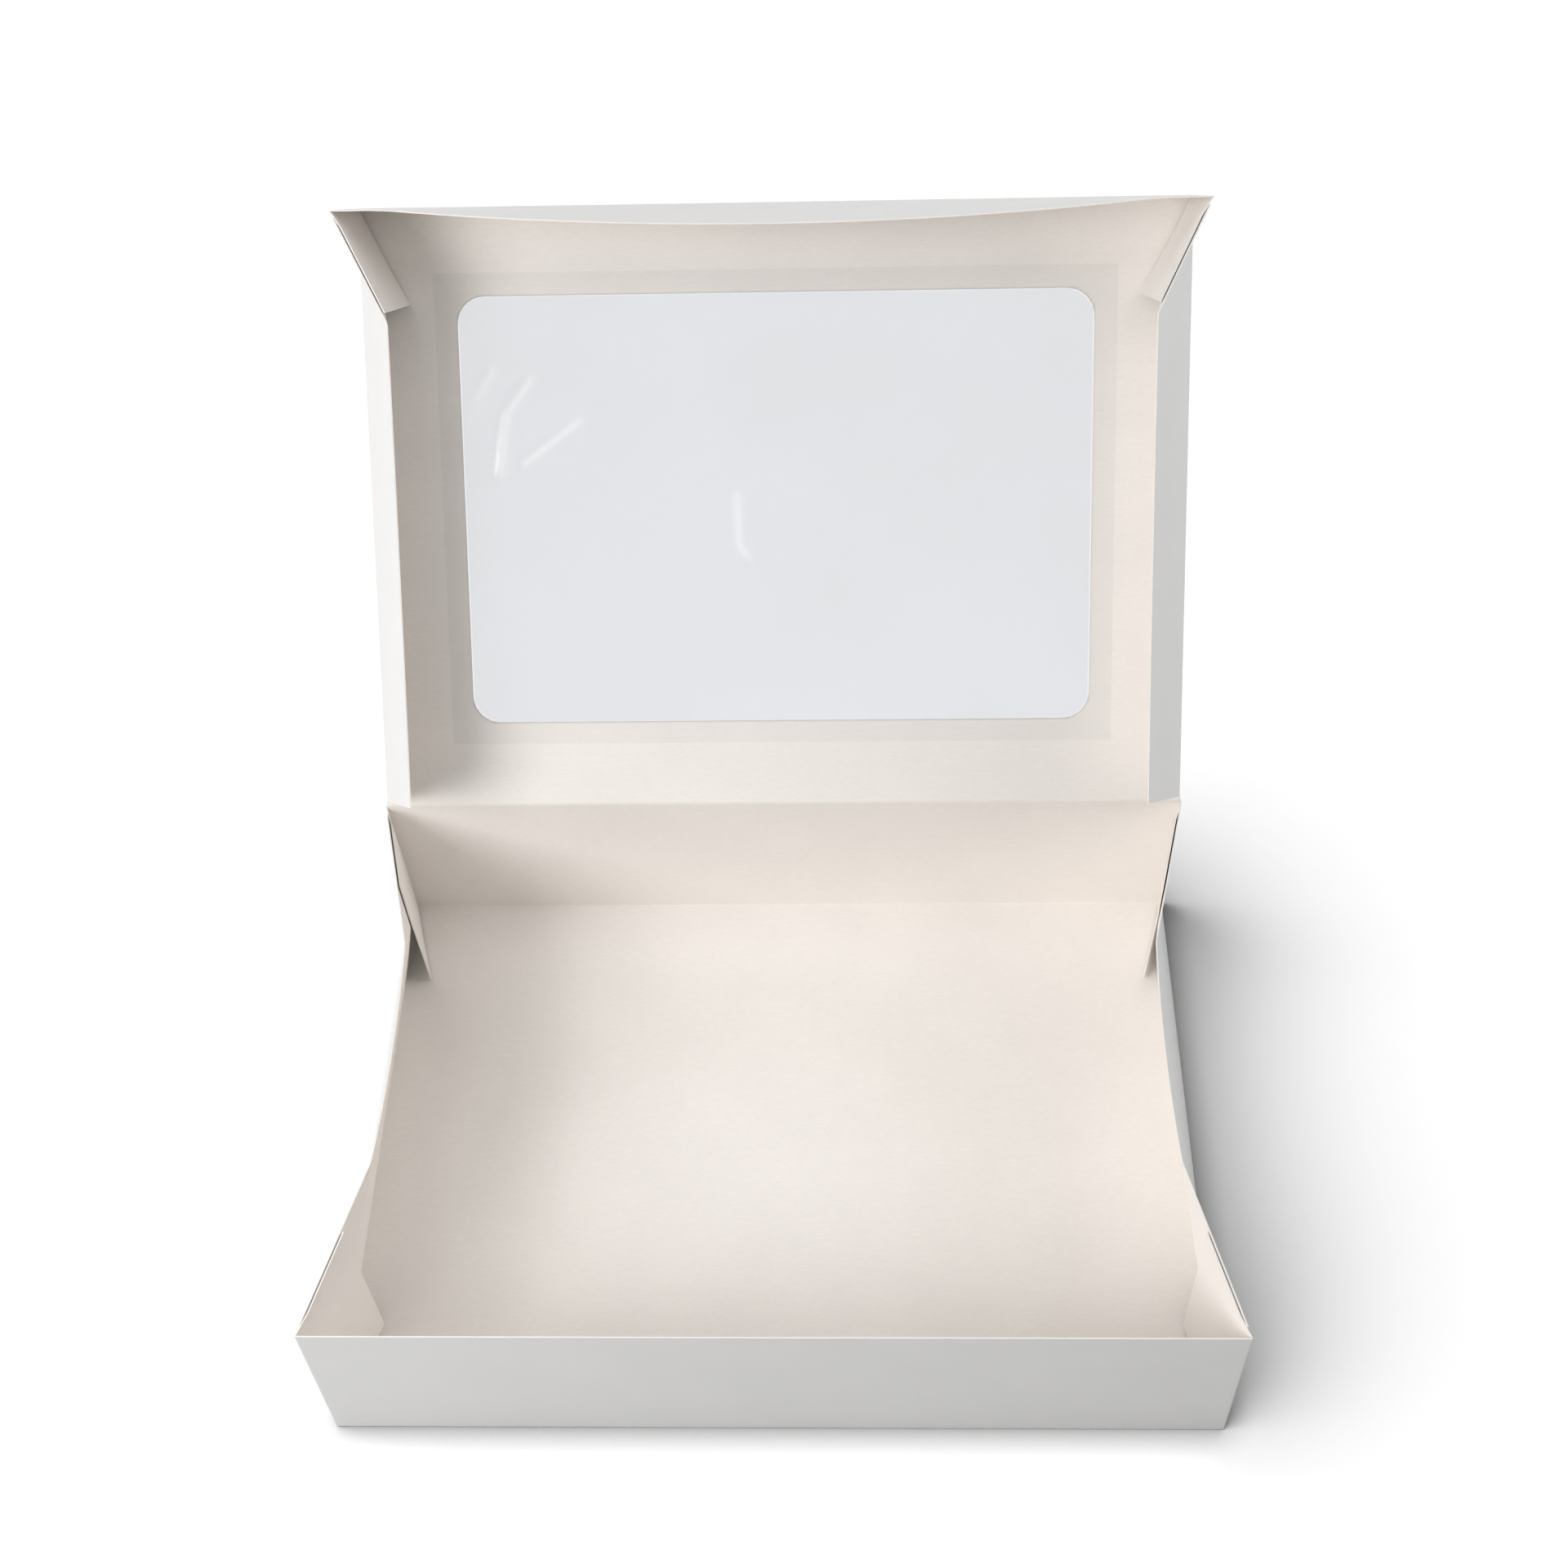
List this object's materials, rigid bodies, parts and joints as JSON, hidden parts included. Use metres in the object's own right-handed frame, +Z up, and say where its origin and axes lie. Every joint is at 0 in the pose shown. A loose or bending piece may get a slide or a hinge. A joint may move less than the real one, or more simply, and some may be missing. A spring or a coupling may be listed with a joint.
{
  "type": "cupcake box",
  "caption": "Open folded paperboard bakery box with a hinged, windowed lid, glued pop-up corners and a clear film window.",
  "frame": {"origin": "centre of the tray floor's underside", "axes": "+Z up out of the tray, +Y towards the back wall and lid hinge, +X to the right seen from the front"},
  "size_m": [0.33, 0.3914, 0.286],
  "materials": {
    "paperboard": "bleached folding boxboard, smooth and matt, slightly warmer on its uncoated inside",
    "clear_film": "clear polyester film, glossy, with a few soft creases"
  },
  "bodies": {
    "tray": {"tray": "paperboard"},
    "lid": {"lid": "paperboard", "window_film": "clear_film"}
  },
  "joints": [
    {"name": "lid_hinge", "type": "hinge", "parent": "tray", "child": "lid", "pos_m": [0, 0.11671, 0.07572], "axis": [1, 0, 0], "range_deg": [-67, 96]}
  ]
}
